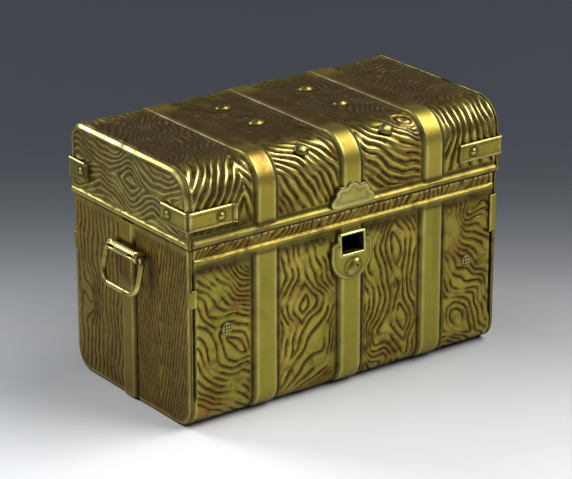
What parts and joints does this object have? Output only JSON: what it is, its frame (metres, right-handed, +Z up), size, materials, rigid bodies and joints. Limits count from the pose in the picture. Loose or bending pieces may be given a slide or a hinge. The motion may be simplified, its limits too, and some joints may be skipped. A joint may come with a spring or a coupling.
{
  "type": "needle case",
  "caption": "Small embossed brass needle case shaped like a strapped travelling trunk, with a hinged lid, a divided tray inside and a swinging bail handle on each end.",
  "frame": {"origin": "centre of the flat underside of the base, on the surface that the case stands on", "axes": "+X along the case's length, the front with the lock plate faces -Y, the hinge is on the +Y side, +Z up"},
  "size_m": [0.066, 0.0356, 0.0423],
  "materials": {
    "aged_brass": "thin pressed brass with dark patina in the grooves and rubbed bright high points",
    "dark_brass": "pressed brass darkened to brown on the top and rubbed bright on the front edge and straps",
    "polished_brass": "handled brass fittings, satin with fine scratches and dark edges",
    "inner_brass": "plain sheet brass, dull satin, lightly tarnished"
  },
  "bodies": {
    "case": {"base_wrap": "aged_brass", "base_left_end": "aged_brass", "base_right_end": "aged_brass", "inner_collar": "inner_brass", "needle_tray": "inner_brass", "front_divider": "inner_brass", "middle_divider": "inner_brass", "back_divider": "inner_brass", "lock_plate": "polished_brass", "lock_rivet": "polished_brass", "rosette_nails": "polished_brass", "left_handle_bracket": "polished_brass", "right_handle_bracket": "polished_brass", "base_hinge_leaf": "polished_brass", "hinge_pin": "polished_brass"},
    "lid": {"lid_wrap": "dark_brass", "lid_left_end": "aged_brass", "lid_right_end": "aged_brass", "lid_hinge_leaf": "polished_brass", "thumb_plate": "polished_brass", "front_left_corner": "polished_brass", "front_right_corner": "polished_brass", "back_left_corner": "polished_brass", "back_right_corner": "polished_brass", "corner_rivets": "polished_brass", "lid_studs": "polished_brass"},
    "left_handle": {"left_bail": "polished_brass"},
    "right_handle": {"right_bail": "polished_brass"}
  },
  "joints": [
    {"name": "lid_hinge", "type": "hinge", "parent": "case", "child": "lid", "pos_m": [0, 0.01745, 0.02975], "axis": [-1, 0, 0], "range_deg": [0, 105]},
    {"name": "left_handle_swing", "type": "hinge", "parent": "case", "child": "left_handle", "pos_m": [-0.0313, -0.0004, 0.025], "axis": [0, 1, 0], "range_deg": [-14, 155]},
    {"name": "right_handle_swing", "type": "hinge", "parent": "case", "child": "right_handle", "pos_m": [0.0313, -0.0004, 0.025], "axis": [0, -1, 0], "range_deg": [-14, 155]}
  ]
}
